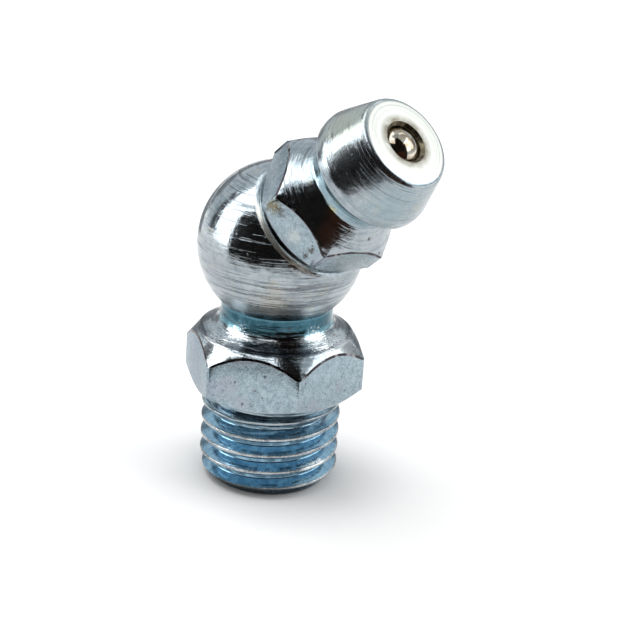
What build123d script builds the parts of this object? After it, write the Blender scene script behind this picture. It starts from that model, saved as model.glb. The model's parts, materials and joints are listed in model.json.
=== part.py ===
"""Angled cone-head grease nipple: M8x1 screw-in shank, angled ball elbow, sprung check ball.

Millimetres. The origin is the centre of the body hexagon's seating face, +Z runs up the shank's axis
to the ball, and the head leans towards +X. Heights on the head are measured from the spot face in the
ball, along the head's own axis.
"""
from build123d import *
from math import cos, radians, sin, sqrt, tan
import os

# ---------------------------------------------------------------- driving dimensions
# Shank below the seating face: the thread's plain major diameter, which the fine thread is cut into
thread_major_d = 7.9
shank_length = 5.5
shank_end_chamfer = 0.75

# Body hexagon and the shoulder above it
body_hex_af = 9.0
body_hex_turn = 0.6            # degrees from a flat that faces +X
seat_face_d = 8.9
seat_chamfer_angle = 30.0       # from the seating face
body_corner_height = 2.21       # where the top cone meets the hexagon's corners
body_cone_angle = 52.0          # from horizontal
shoulder_d = 8.6                # where the top cone gives way to the flatter shoulder
shoulder_angle = 24.0           # from horizontal
neck_d = 6.28
neck_fillet_r = 0.8

# Ball elbow and the socket that holds the head
ball_d = 9.24
ball_height = 8.4              # ball centre above the seating face
elbow_angle = 47.0              # head axis from the shank axis
spot_face_offset = 3.05         # spot face from the ball centre, along the head axis
spot_face_edge_break = 0.08
stem_d = 4.5
stem_length = 2.0
stem_end_chamfer = 0.2
press_interference = 0.01       # on diameter, stem in socket
socket_floor_gap = 0.15         # below the end of the stem

# Passages drilled in the body
outlet_bore_d = 2.6
outlet_countersink = 0.3
elbow_bore_d = 2.2
drill_point_angle = 118.0

# Head hexagon
head_hex_af = 6.9
head_hex_turn = -12.8           # degrees from a corner that points along +Y
head_foot_d = 6.1
head_foot_angle = 42.0          # back chamfer, from the spot face
head_corner_height = 1.99       # where the front chamfer meets the hexagon's corners
head_chamfer_angle = 48.0       # from the spot face
head_shoulder_d = 6.85           # where the chamfer gives way to the long cone

# Groove, coupling land and nose
head_height = 8.25              # front face above the spot face
nose_length = 2.5
nose_taper = 18.8               # degrees from the head's axis
land_d = 6.8
land_length = 0.55
land_front_blend_r = 0.8
land_back_angle = 45.0
groove_d = 4.9
groove_width = 0.6
groove_fillet_r = 0.35
face_edge_r = 0.38

# Mouth, check ball and spring
mouth_d = 2.06
mouth_countersink = 0.17
mouth_land = 0.15
seat_half_angle = 45.0
check_ball_d = 2.5
check_ball_seat_gap = 0.02
spring_bore_d = 2.8
spring_outer_d = 2.3
spring_wire_d = 0.3
spring_wire_sides = 6           # the wire's section is a hexagon, to keep the coil light
spring_turns = 4.5
spring_end_gap = 0.02
retaining_lip_d = 1.7           # the stem's end is rolled in to this, behind the spring
retaining_lip_length = 0.35

# ---------------------------------------------------------------- derived values
flat_to_corner = 30.0           # degrees round a hexagon from the middle of a flat to a corner
hex_corner_ratio = 1 / cos(radians(flat_to_corner))
match_tolerance = 1e-3          # within which an edge is taken to be the circle looked for
blank_run_out = 0.1             # how far the turned blanks stand past the hexagons' corners
upward = (Align.CENTER, Align.CENTER, Align.MIN)

lean = radians(elbow_angle)
ball_centre = Vector(0, 0, ball_height)
head_axis = Vector(sin(lean), 0, cos(lean))
mouth_r = mouth_d / 2
check_ball_r = check_ball_d / 2
seat_height = head_height - mouth_countersink - mouth_land
check_ball_height = seat_height - sqrt(check_ball_r**2 - mouth_r**2) - check_ball_seat_gap


def head_plane(height=0.0):
    """The plane across the head's axis at a height above the spot face, with its x along +Y."""
    origin = ball_centre + head_axis * (spot_face_offset + height)
    return Plane(origin, x_dir=(0, 1, 0), z_dir=head_axis)


# ---------------------------------------------------------------- shared helpers
def turned(corners):
    """A solid of revolution about Z, from (radius, height) corners; a third number rounds that corner."""
    outline = make_face(Polyline(*[corner[:2] for corner in corners], close=True))
    for corner in corners:
        if len(corner) == 3:
            vertex = outline.vertices().sort_by_distance(corner[:2])[0]
            outline = fillet(vertex, corner[2])
    return revolve(Plane.XZ * outline, Axis.Z)


def hexagon(across_flats, turn, low, high):
    """A hexagonal bar about Z with its first corner at turn degrees from x."""
    outline = RegularPolygon(across_flats / 2, 6, major_radius=False, rotation=turn)
    return extrude(Pos(0, 0, low) * outline, high - low)


def round_edges(solid, radius, height):
    """The solid's circular edges about Z of that radius, at that height."""
    centre = Vector(0, 0, height)
    return solid.edges().filter_by(GeomType.CIRCLE).filter_by(
        lambda e: abs(e.radius - radius) + (e.arc_center - centre).length < match_tolerance
    )


# ---------------------------------------------------------------- elbow body
def shank_blank():
    """The shank at the thread's major diameter, chamfered at its end."""
    r = thread_major_d / 2
    end = -shank_length
    return turned([(0, end), (r - shank_end_chamfer, end), (r, end + shank_end_chamfer), (r, 0), (0, 0)])


def shoulder_height():
    """Where the hexagon's top cone gives way to the flatter shoulder."""
    corner_r = body_hex_af / 2 * hex_corner_ratio
    return body_corner_height + (corner_r - shoulder_d / 2) * tan(radians(body_cone_angle))


def body_hexagon():
    """The hexagon, chamfered to the seating face below and turned to a cone above."""
    outer_r = body_hex_af / 2 * hex_corner_ratio + blank_run_out
    seat_r = seat_face_d / 2
    top = shoulder_height()
    blank = turned(
        [
            (0, 0),
            (seat_r, 0),
            (outer_r, (outer_r - seat_r) * tan(radians(seat_chamfer_angle))),
            (outer_r, body_corner_height - blank_run_out * tan(radians(body_cone_angle))),
            (shoulder_d / 2, top),
            (0, top),
        ]
    )
    return blank & hexagon(body_hex_af, flat_to_corner + body_hex_turn, 0, top)


def neck_and_ball():
    """The shoulder, the neck rising from it in a fillet, and the ball."""
    low = shoulder_height()
    neck_r = neck_d / 2
    neck_low = low + (shoulder_d / 2 - neck_r) * tan(radians(shoulder_angle))
    blank = turned(
        [
            (0, low),
            (shoulder_d / 2, low),
            (neck_r, neck_low, neck_fillet_r),
            (neck_r, ball_height),
            (0, ball_height),
        ]
    )
    return blank + Pos(ball_centre) * Sphere(ball_d / 2)


def elbow_body():
    """Shank, hexagon, neck and ball in one piece, with the drilled passages and the angled socket."""
    body = shank_blank() + body_hexagon() + neck_and_ball()

    # Spot face across the side of the ball, its edge broken
    spot_r = sqrt((ball_d / 2) ** 2 - spot_face_offset**2)
    body = head_plane().to_local_coords(body) - Cylinder(ball_d, ball_d, align=upward)
    body = chamfer(round_edges(body, spot_r, 0), spot_face_edge_break)

    # Socket for the stem, and the short bore from its floor to the ball's centre
    socket_depth = stem_length + socket_floor_gap
    socket_r = (stem_d - press_interference) / 2
    body -= Pos(0, 0, -socket_depth) * Cylinder(socket_r, socket_depth, align=upward)
    body -= Pos(0, 0, -spot_face_offset) * Cylinder(elbow_bore_d / 2, spot_face_offset, align=upward)
    body = head_plane().from_local_coords(body)

    # Passage drilled up the shank to meet it
    bore_r = outlet_bore_d / 2
    end = -shank_length
    body -= turned(
        [
            (0, end),
            (bore_r + outlet_countersink, end),
            (bore_r, end + outlet_countersink),
            (bore_r, ball_height),
            (0, ball_height + bore_r / tan(radians(drill_point_angle / 2))),
        ]
    )
    return body


# ---------------------------------------------------------------- nipple head
def head_shoulder_height():
    """Where the head hexagon's front chamfer gives way to the long cone."""
    corner_r = head_hex_af / 2 * hex_corner_ratio
    return head_corner_height + (corner_r - head_shoulder_d / 2) * tan(radians(head_chamfer_angle))


def head_hexagon():
    """The head's hexagon, chamfered at its foot and its front."""
    outer_r = head_hex_af / 2 * hex_corner_ratio + blank_run_out
    foot_r = head_foot_d / 2
    top = head_shoulder_height()
    blank = turned(
        [
            (0, 0),
            (foot_r, 0),
            (outer_r, (outer_r - foot_r) * tan(radians(head_foot_angle))),
            (outer_r, head_corner_height - blank_run_out * tan(radians(head_chamfer_angle))),
            (head_shoulder_d / 2, top),
            (0, top),
        ]
    )
    return blank & hexagon(head_hex_af, head_hex_turn, 0, top)


def head_nose():
    """Long cone, groove, coupling land and tapered nose up to the flat face."""
    low = head_shoulder_height()
    land_r = land_d / 2
    groove_r = groove_d / 2
    land_front = head_height - nose_length
    land_back = land_front - land_length
    groove_front = land_back - (land_r - groove_r) / tan(radians(land_back_angle))
    groove_back = groove_front - groove_width
    face_r = land_r - nose_length * tan(radians(nose_taper))
    return turned(
        [
            (0, low),
            (head_shoulder_d / 2, low),
            (groove_r, groove_back, groove_fillet_r),
            (groove_r, groove_front),
            (land_r, land_back),
            (land_r, land_front, land_front_blend_r),
            (face_r, head_height, face_edge_r),
            (0, head_height),
        ]
    )


def stem():
    """The stem that is pressed into the ball's socket."""
    r = stem_d / 2
    end = -stem_length
    return turned([(0, end), (r - stem_end_chamfer, end), (r, end + stem_end_chamfer), (r, 0), (0, 0)])


def head_bore():
    """Mouth, ball seat, spring bore and the opening left by the rolled-in lip, as one cutter."""
    bore_r = spring_bore_d / 2
    lip_r = retaining_lip_d / 2
    bore_end = retaining_lip_length - stem_length
    land_top = head_height - mouth_countersink
    seat_depth = (bore_r - mouth_r) / tan(radians(seat_half_angle))
    return turned(
        [
            (0, -stem_length),
            (lip_r, -stem_length),
            (lip_r, bore_end),
            (bore_r, bore_end),
            (bore_r, seat_height - seat_depth),
            (mouth_r, seat_height),
            (mouth_r, land_top),
            (mouth_r + mouth_countersink, head_height),
            (0, head_height),
        ]
    )


def nipple_head():
    """Stem, hexagon, cone, land and nose in one piece, bored for the ball and its spring."""
    return head_plane() * (stem() + head_hexagon() + head_nose() - head_bore())


# ---------------------------------------------------------------- check ball and spring
def check_ball():
    """The steel ball, just off its seat behind the mouth."""
    return head_plane(check_ball_height) * Sphere(check_ball_r)


def check_spring():
    """Coil spring from the rolled-in lip to the back of the ball."""
    wire_r = spring_wire_d / 2
    coil_r = spring_outer_d / 2 - wire_r
    contact = sqrt((check_ball_r + wire_r + spring_end_gap) ** 2 - coil_r**2)
    low = retaining_lip_length - stem_length + wire_r + spring_end_gap
    rise = check_ball_height - contact - low
    wire = Helix(pitch=rise / spring_turns, height=rise, radius=coil_r)
    section = Plane(origin=wire @ 0, z_dir=wire % 0) * RegularPolygon(wire_r, spring_wire_sides)
    return head_plane(low) * sweep(section, path=wire, is_frenet=True)


# ---------------------------------------------------------------- export
os.makedirs("parts", exist_ok=True)
for node in (elbow_body, nipple_head, check_ball, check_spring):
    shape = node()
    export_step(shape, f"parts/{node.__name__}.step")
    print(node.__name__, len(shape.solids()), "solids", round(shape.volume, 3), "mm3 valid", shape.is_valid)
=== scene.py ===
"""Angled grease nipple in zinc-plated steel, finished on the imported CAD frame.

Sizes are in millimetres, turned into metres by MM, and angles are in degrees. The shank's axis is Z, with
the hexagon's seating face at z = 0, and the head leans towards +X. Heights on the head run along its own
axis, from the spot face in the ball.
"""

import json
from math import acos, atan2, cos, degrees, hypot, pi, radians, sin, sqrt, tan

import bpy
from mathutils import Matrix, Vector


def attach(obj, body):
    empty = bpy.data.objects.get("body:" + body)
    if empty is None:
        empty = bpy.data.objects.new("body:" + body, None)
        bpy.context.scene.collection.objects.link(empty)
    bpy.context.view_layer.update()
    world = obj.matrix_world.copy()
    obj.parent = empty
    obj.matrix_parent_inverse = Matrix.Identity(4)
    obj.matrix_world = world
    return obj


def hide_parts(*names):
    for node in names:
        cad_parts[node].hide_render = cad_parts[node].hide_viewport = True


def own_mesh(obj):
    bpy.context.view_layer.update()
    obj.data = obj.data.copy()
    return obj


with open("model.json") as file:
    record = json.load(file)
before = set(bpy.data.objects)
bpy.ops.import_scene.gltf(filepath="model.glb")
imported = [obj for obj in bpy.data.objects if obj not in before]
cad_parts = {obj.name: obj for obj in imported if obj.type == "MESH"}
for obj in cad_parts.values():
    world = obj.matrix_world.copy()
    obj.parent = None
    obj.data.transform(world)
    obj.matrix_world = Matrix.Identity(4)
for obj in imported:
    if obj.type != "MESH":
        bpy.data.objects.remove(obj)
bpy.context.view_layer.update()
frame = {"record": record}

MM = 0.001

# ---------------- sizes of the fitting
MOUNTS = {mount["name"]: mount for mount in frame["record"]["mounts"]}

# Shank and its right-hand thread
THREAD_R = MOUNTS["thread"]["dims"]["r_mm"]
SHANK_LENGTH = 5.5
SHANK_END_CHAMFER = 0.75
SHANK_END_BREAK = 0.06
PITCH = 1.0
THREAD_DEPTH = 0.6
CREST_FLAT = 0.13
CREST_BREAK = 0.03
ROOT_FLAT = 0.25
ROOT_FILLET = 0.09
CREST_AT_X = -0.69              # height of a crest where it passes +X
RUN_OUT_LOW = -1.15             # where the thread starts to fade into the shank under the hexagon
RUN_OUT_HIGH = -0.35
RUN_OUT_INSET = 0.02            # the plain shank there, inside the crests
OUTLET_R = MOUNTS["grease_outlet"]["dims"]["r_mm"]
OUTLET_COUNTERSINK = 0.3

# Body hexagon, shoulder and neck
BODY_AF = 9.0
BODY_HEX_TURN = 0.6             # from a flat that faces +X
SEAT_R = 4.45
SEAT_CHAMFER_ANGLE = 30
BODY_CORNER_HEIGHT = 2.21
BODY_CONE_ANGLE = 52
SHOULDER_R = 4.3
SHOULDER_ANGLE = 24
NECK_R = 3.14
NECK_FILLET_R = 0.8

# Ball, spot face and socket
BALL_R = 4.62
BALL_HEIGHT = 8.4
BALL_ROOT = 0.08
LEAN = 47
SPOT_FACE = 3.05                # from the ball's centre
STEM_R = 2.25
STEM_LENGTH = 2.0
STEM_CHAMFER = 0.2
PRESS_FIT = 0.005               # on the radius
SOCKET_GAP = 0.15
ELBOW_BORE_R = 1.1
DRILL_POINT = 118

# Head
HEAD_AF = 6.9
HEAD_HEX_TURN = -12.8           # from a corner that points along +Y
HEAD_FOOT_R = 3.05
HEAD_FOOT_ANGLE = 42
HEAD_CORNER_HEIGHT = 1.99
HEAD_CHAMFER_ANGLE = 48
HEAD_SHOULDER_R = 3.425
HEAD_HEIGHT = 8.25
NOSE_LENGTH = 2.5
NOSE_TAPER = 18.8
LAND_R = MOUNTS["coupling_land"]["dims"]["r_mm"]
LAND_LENGTH = 0.55
GROOVE_R = 2.45
GROOVE_WIDTH = 0.6
MOUTH_R = 1.03
MOUTH_COUNTERSINK = 0.17
MOUTH_LAND = 0.15
SPRING_BORE_R = 1.4
LIP_R = 0.85
LIP_LENGTH = 0.35

# Check ball and spring
CHECK_BALL_R = 1.25
CHECK_BALL_GAP = 0.02
SEAT_HEIGHT = HEAD_HEIGHT - MOUTH_COUNTERSINK - MOUTH_LAND
CHECK_BALL_HEIGHT = SEAT_HEIGHT - sqrt(CHECK_BALL_R**2 - MOUTH_R**2) - CHECK_BALL_GAP
SPRING_GAP = 0.02
SPRING_WIRE_R = 0.15
SPRING_COIL_R = 1.0
SPRING_TURNS = 4.5

# Small edge breaks and blends that the machined edges keep
SHOULDER_BREAK = 0.12
BODY_ARRIS = 0.26
HEAD_ARRIS = 0.7 * BODY_ARRIS
FLAT_EDGE = 0.08
SPOT_EDGE = 0.3
HEAD_SHOULDER_BREAK = 0.1
LAND_EDGE = 0.14
GROOVE_FILLET = 0.3
LAND_BLEND = 0.8
FACE_EDGE = 0.38
MOUTH_BREAK = 0.04

# Blanks and cutting tools
FLAT_TO_CORNER = 30             # round a hexagon, from the middle of a flat
HEX_CORNER = 1 / cos(radians(FLAT_TO_CORNER))
BLANK_RUN_OUT = 0.1             # the turned blanks, past the hexagons' corners
JOIN_DEPTH = 0.1                # the body's blank, into the thread's core
TOOL_PAST = 0.1                 # a tool, past the face that it enters
ROD_TOP = 0.15
ROD_PAST_END = 0.4
ENVELOPE_MARGIN = 0.3           # round the threaded rod
ENVELOPE_RING = 0.5
DRILL_TIP_R = 0.01
SPOT_TOOL_INSET = 0.07          # the flat of the spot face's tool, inside the ball's surface
SPOT_TOOL_SKIRT = (0.6, -0.53)  # its lowest point, outwards from the face's rim and along the axis
SPOT_TOOL_WALL = 0.9
SPOT_TOOL_WALL_FOOT = -0.4
SOCKET_TOOL_TOP = 0.5
MILL_LOW = -0.5
BODY_MILL_TOP = 4.0
HEAD_MILL_PAST = 0.3

# Fineness of the meshes
SEGMENTS = 192                  # round an axis
BALL_ROOT_STEP = 1
BALL_STEP = 2.4
BALL_POLE = 89.7
CHECK_BALL_STEP = 2.8
CHECK_BALL_POLE = 89.6
THREAD_ARC_STEP = 20
WIRE_SIDES = 12
WIRE_STEPS = 200
ARRIS_SEGMENTS = 4
EDGE_SEGMENTS = 2
DOUBLES = 2e-7                  # metres
THREAD_DOUBLES = 1e-7

# Limits by which faces are told apart: lengths, and normals by their part along the axis
SAME_SURFACE = 0.93             # the cosine between neighbours' normals
FLAT_OFF = 3e-6                 # metres from a flat's plane
FLAT_RISE = 0.02
FLAT_SWING = 1
FLAT_NORMAL = 0.05
BODY_CONE_NORMAL = 0.58
HEAD_FOOT_NORMAL = -0.6
HEAD_CONE_NORMAL = 0.62
SPOT_FACE_NORMAL = 0.995
BODY_HEX_HEIGHTS = (0.1, 3.4)
HEAD_HEX_HEIGHTS = (0.1, 2.9)
SEAT_EDGE = 0.3
HEAD_FOOT_EDGE = 0.2
SEAT_MARGIN = 0.001
BORE_MARGIN = 0.01
BALL_SKIN = 0.004
FACE_SKIN = 0.012
RIM_DEPTH = 0.5

# ---------------- colours, stains and painted light
# Turned zinc
BRIGHT = (0.41, 0.455, 0.48)
DULL = (0.26, 0.31, 0.34)
BLUE = (0.14, 0.31, 0.38)
# Painted shade, deep in the neck's recess
DEEP_BLUE_SHADE = (0.014, 0.058, 0.085)
LAVENDER = (0.36, 0.37, 0.43)
STRAW = (0.5, 0.45, 0.3)
GRIME = (0.035, 0.028, 0.022)
SCORE = (0.1, 0.11, 0.12)
SHOULDER_RING = (0.04, 0.05, 0.07)

# Flats and their edges
FLAT_DULL = (0.18, 0.24, 0.28)
FLAT_BRIGHT = (0.415, 0.51, 0.56)
FLAT_PIT = (0.08, 0.075, 0.08)
# Painted shade on the broken edges round the flats, lighter in patches
EDGE_PAINTED_SHADE = (0.05, 0.042, 0.045)
EDGE_LIGHTER = (0.3, 0.29, 0.3)
# A painted highlight on the low side of the spot face's rim, over darker score lines
RIM_SHADE = (0.2, 0.19, 0.16)
RIM_PAINTED_HIGHLIGHT = (0.8, 0.8, 0.74)

# Thread
THREAD_BLUE = (0.17, 0.31, 0.43)
THREAD_PALE = (0.28, 0.46, 0.58)
# Painted shade in the thread's roots and under its crests
ROOT_SHADE = (0.05, 0.1, 0.14)
CREST_SHADE = (0.02, 0.035, 0.05)
CREST_DULL = (0.2, 0.22, 0.235)
CREST_WORN = (0.5, 0.53, 0.54)
RUN_OUT_DARK = (0.05, 0.075, 0.1)
RUN_OUT_PALE = (0.42, 0.5, 0.54)
# Painted shade on the shank's end chamfer
END_SHADE = (0.04, 0.046, 0.052)
# Painted highlight: a white glint on a crest
CREST_GLINT = (0.85, 0.87, 0.86)

# Front face, bores, ball and spring
FACE_DULL = (0.36, 0.36, 0.325)
FACE_BRIGHT = (0.6, 0.605, 0.565)
MOUTH_STRAW = (0.12, 0.095, 0.05)
# Painted shade in the bores, with old grease's brown
GREASE_AND_SHADE_BLACK = (0.045, 0.035, 0.022)
GREASE_BROWN = (0.2, 0.17, 0.11)
BALL_BROWN = (0.34, 0.28, 0.2)
BALL_PALE = (0.5, 0.46, 0.4)
WIRE_DARK = (0.12, 0.1, 0.08)
WIRE_PALE = (0.3, 0.28, 0.26)

# Stains, and painted highlights and shade
OLIVE = (0.2, 0.18, 0.1)
UMBER = (0.05, 0.032, 0.02)
TAN = (0.46, 0.41, 0.32)
YELLOW = (0.55, 0.45, 0.17)
PAINTED_HIGHLIGHT = (0.9, 0.93, 0.94)
PAINTED_BROWN_SHADE = (0.07, 0.035, 0.025)
SHOULDER_PAINTED_SHADE = (0.03, 0.036, 0.05)
STEEL_BLUE_TINT_AND_SHADE = (0.1, 0.17, 0.24)
NOSE_BLUE = (0.27, 0.36, 0.4)
NOSE_OLIVE = (0.46, 0.48, 0.4)
PALE_GREY = (0.6, 0.62, 0.58)
DARK_GREEN_TINT_AND_SHADE = (0.13, 0.17, 0.17)

# Each stain or painted patch of light or shade: its place in the finish's own millimetres, its radius, its
# colour and its strength
BODY_STAINS_AND_PAINTED_LIGHT = [
    ((2.68, -3.1, 6.2), 1.1, TAN, 0.45),
    ((2.9, -3.4, 7.3), 0.5, TAN, 0.3),
    # Painted highlights whiten the shoulder on either side and the cone below them; a painted brown shade
    # darkens the shoulder between
    ((0.4, -3.7, 3.62), 0.78, PAINTED_HIGHLIGHT, 0.85),
    ((3.72, -0.3, 3.6), 0.78, PAINTED_HIGHLIGHT, 0.85),
    ((2.9, -2.05, 3.7), 0.85, PAINTED_BROWN_SHADE, 0.85),
    ((-0.75, -4.4, 3.0), 0.9, PAINTED_HIGHLIGHT, 0.6),
    ((4.2, 1.2, 3.25), 1.1, PAINTED_HIGHLIGHT, 0.6),
]
# Painted shade: dark patches round the body's shoulder
SHADED_TURNS = (-80, -66, -52, -38)     # dark places round the body's shoulder, from +X
SHADED_R = 4.0
SHADED_HEIGHT = 3.55
BODY_STAINS_AND_PAINTED_LIGHT += [
    ((SHADED_R * cos(radians(turn)), SHADED_R * sin(radians(turn)), SHADED_HEIGHT), 0.5, SHOULDER_PAINTED_SHADE, 0.8)
    for turn in SHADED_TURNS
]
BODY_FLAT_STAINS_AND_SHADE = [
    # Partly a steel-blue tint, partly painted shade that darkens the whole left flat
    ((-2.2, -3.9, 1.5), 2.6, STEEL_BLUE_TINT_AND_SHADE, 0.85),
    ((1.81, -4.16, 0.44), 0.11, UMBER, 0.7),
    ((2.4, -3.81, 1.33), 0.08, UMBER, 0.75),
    ((2.76, -3.59, 0.98), 0.07, UMBER, 0.7),
]
HEAD_STAINS = [
    ((-2.27, -1.06, 3.61), 0.24, YELLOW, 0.75),
    ((-1.48, -2.28, 3.36), 0.1, UMBER, 0.8),
    ((-0.2, -2.92, 3.14), 0.12, UMBER, 0.8),
    ((0.89, -3.57, 2.32), 0.07, UMBER, 0.8),
    ((-1.9, -2.18, 3.18), 0.09, UMBER, 0.7),
    ((-1.5, -2.6, 6.7), 1.8, NOSE_BLUE, 0.6),
    ((-1.9, 2.28, 6.9), 1.6, NOSE_OLIVE, 0.8),
]
HEAD_FLAT_STAINS_AND_SHADE = [
    ((-3.81, 0.6, 1.54), 0.5, OLIVE, 0.9),
    ((-3.66, 0.19, 1.66), 0.35, UMBER, 0.6),
    ((-2.92, -2.28, 1.65), 0.24, UMBER, 0.85),
    ((-2.91, -2.27, 1.13), 0.22, UMBER, 0.85),
    ((-3.3, -1.2, 1.3), 0.5, PALE_GREY, 0.5),
    # Partly a dark green tint, partly painted shade that darkens the head's right flat
    ((-0.6, -3.37, 1.6), 1.6, DARK_GREEN_TINT_AND_SHADE, 0.65),
]
# Painted highlights where one crest of the thread glints white
THREAD_GLINTS = [(3.84, -0.75, -3.66), (3.93, -0.3, -3.64), (3.94, 0.2, -3.62)]
GLINT_R = 0.34

# Heights between which a finish changes, on the body and then on the head
CONE_ZONE = (1.9, 3.3)
SHOULDER_RING_ZONE = (3.36, 3.5)
SHOULDER_ZONE = (3.2, 4.2)
NECK_ZONE = (4.15, 5.0)
BALL_ROOT_ZONE = (5.4, 6.0)
LOW_BALL_ZONE = (5.2, 7.6)
CROWN_ZONE = (2.0, 3.42)
GROOVE_ZONE = (3.6, 4.6)
HEAD_CONE_RISE = (1.8, 3.3)
NOSE_RISE = (4.9, 5.8)
NOSE_CROWN_START = 5.7

MARK_SIZE = 0.11                # between the tool marks on the turned surfaces
BUMP_DEPTH = 0.01
FACE_BUMP_DEPTH = 0.008

# ---------------- studio
FLOOR_Z = -SHANK_LENGTH * MM
FLOOR_SIZE = 6                  # metres
FLOOR_TONE = 0.95
# Left out within a few millimetres of the fitting: a painted shadow round its foot
FLOOR_LIFT = 0.12               # towards white beside the fitting, and again far from it
FLOOR_LIFT_REACH = (4.0, 9.0)
FAR_FLOOR_LIFT = 0.55
FAR_FLOOR_REACH = (40.0, 200.0)
WORLD_FILL = 0.5

CAMERA_PLACE = Vector((60.795, -63.120, 38.207)) * MM
CAMERA_TURN = 42.48
CAMERA_TILT = 21.293
CAMERA_ROLL = 4.124
LENS = 94.97
CLIP_START = 5 * MM

# Softboxes, and cards on spheres round the studio's centre, in metres. Bearings run round from the camera.
STUDIO_CENTRE = Vector((0, 0, 4)) * MM
SOFTBOX_DISTANCE = 0.4
SHELL_SEGMENTS = 144
TENT_R = 0.7
CARD_R = 0.6
SKY_R = 0.55
FRONT_TOP_R = 0.54
LOW_CARD_R = 0.05               # near enough to hide the floor below the horizon
ALL_ROUND = (-181, 181)
TENT = (0.78, 0.84, 0.88)
TENT_TOP = (0.5, 0.55, 0.58)
BLACK_CARD = (0.016, 0.014, 0.013)
BROWN_CARD = (0.05, 0.02, 0.012)
SKY = (2.3, 2.35, 2.4)
STRIP_GREY = (0.12, 0.13, 0.14)
SIDE_GREY = (0.42, 0.45, 0.47)
HORIZON_GREY = (0.3, 0.32, 0.34)

AXIS = Vector((sin(radians(LEAN)), 0, cos(radians(LEAN))))


def head_matrix(height=0.0):
    """From the head's own frame, with z along its axis and x along the fitting's +Y, to the fitting's."""
    side = Vector((0, 1, 0))
    place = Matrix((side, AXIS.cross(side), AXIS)).transposed().to_4x4()
    place.translation = (Vector((0, 0, BALL_HEIGHT)) + AXIS * (SPOT_FACE + height)) * MM
    return place


HEAD_PLACE = head_matrix()
INTO_HEAD = HEAD_PLACE.inverted()


# ---------------- modelling helpers
def deselect():
    if bpy.context.object and bpy.context.object.mode != "OBJECT":
        bpy.ops.object.mode_set(mode="OBJECT")
    bpy.ops.object.select_all(action="DESELECT")


def work_on(piece):
    """Makes the piece the only one selected."""
    deselect()
    piece.select_set(True)
    bpy.context.view_layer.objects.active = piece


def edit_all(piece):
    """Edit mode on the piece, with all of it selected."""
    work_on(piece)
    bpy.ops.object.mode_set(mode="EDIT")
    bpy.ops.mesh.select_mode(type="VERT")
    bpy.ops.mesh.select_all(action="SELECT")


def stop_editing():
    bpy.ops.object.mode_set(mode="OBJECT")


def select_none(piece, kind):
    """Leaves nothing of the piece selected, so that its faces or edges can be picked one by one."""
    edit_all(piece)
    bpy.ops.mesh.select_mode(type=kind)
    bpy.ops.mesh.select_all(action="DESELECT")
    stop_editing()


def turn_outwards():
    """Points every face of the piece outwards and leaves edit mode."""
    bpy.ops.mesh.select_all(action="SELECT")
    bpy.ops.mesh.normals_make_consistent(inside=False)
    stop_editing()


def rounded(corners, arc_step):
    """(radius, height) points along the corners; a third number rounds that corner with an arc."""
    points = []
    for i, corner in enumerate(corners):
        here = Vector(corner[:2])
        if len(corner) < 3:
            points.append(here)
            continue
        back = (Vector(corners[i - 1][:2]) - here).normalized()
        ahead = (Vector(corners[(i + 1) % len(corners)][:2]) - here).normalized()
        half = back.angle(ahead) / 2
        middle = here + (back + ahead).normalized() * (corner[2] / sin(half))
        start = here + back * (corner[2] / tan(half)) - middle
        end = here + ahead * (corner[2] / tan(half)) - middle
        sweep = atan2(start.cross(end), start.dot(end))
        steps = max(2, round(abs(degrees(sweep)) / arc_step))
        for k in range(steps + 1):
            points.append(middle + Matrix.Rotation(sweep * k / steps, 2) @ start)
    return points


def turned(corners, arc_step=8, bored=False):
    """Turns the corners about Z, ring after ring. A bored outline closes on itself, any other on its ends."""
    points = rounded(corners, arc_step)
    deselect()
    bpy.ops.mesh.primitive_circle_add(
        vertices=SEGMENTS, radius=points[0][0] * MM, location=(0, 0, points[0][1] * MM),
        fill_type="NOTHING" if bored else "NGON",
    )
    piece = bpy.context.object
    bpy.ops.object.transform_apply(location=True)
    edit_all(piece)
    for before, here in zip(points, points[1:]):
        rise = (here[1] - before[1]) * MM
        bpy.ops.mesh.extrude_region_move(TRANSFORM_OT_translate={"value": (0, 0, rise)})
        scale = here[0] / before[0]
        bpy.ops.transform.resize(value=(scale, scale, 1), center_override=(0, 0, here[1] * MM))
    if bored:
        bpy.ops.mesh.select_all(action="DESELECT")
        bpy.ops.mesh.select_non_manifold()
        bpy.ops.mesh.bridge_edge_loops()
    turn_outwards()
    return piece


def arc(radius, height, start, end, step):
    """Points of an arc about (0, height), between two angles from the horizontal."""
    count = max(2, round(abs(end - start) / step))
    angles = [radians(start + (end - start) * k / count) for k in range(count + 1)]
    return [(radius * cos(a), height + radius * sin(a)) for a in angles]


def combine(piece, tool, operation):
    """Joins, cuts or keeps what is common of two solids, and removes the tool."""
    work_on(piece)
    modifier = piece.modifiers.new("combine", "BOOLEAN")
    modifier.operation = operation
    modifier.solver = "EXACT"
    modifier.object = tool
    bpy.ops.object.modifier_apply(modifier=modifier.name)
    bpy.data.objects.remove(tool)


def mill_flats(piece, across_flats, turn, low, high):
    """Cuts the six flats of a hexagon into a turned blank; the first faces turn degrees from x."""
    depth = across_flats / 4
    reach = (across_flats + depth) / 2
    for step in range(6):
        angle = radians(turn + 60 * step)
        deselect()
        bpy.ops.mesh.primitive_cube_add(
            size=MM,
            location=(reach * cos(angle) * MM, reach * sin(angle) * MM, (low + high) / 2 * MM),
            rotation=(0, 0, angle),
            scale=(depth, across_flats, high - low),
        )
        cutter = bpy.context.object
        bpy.ops.object.transform_apply(location=True, rotation=True, scale=True)
        combine(piece, cutter, "DIFFERENCE")


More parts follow.
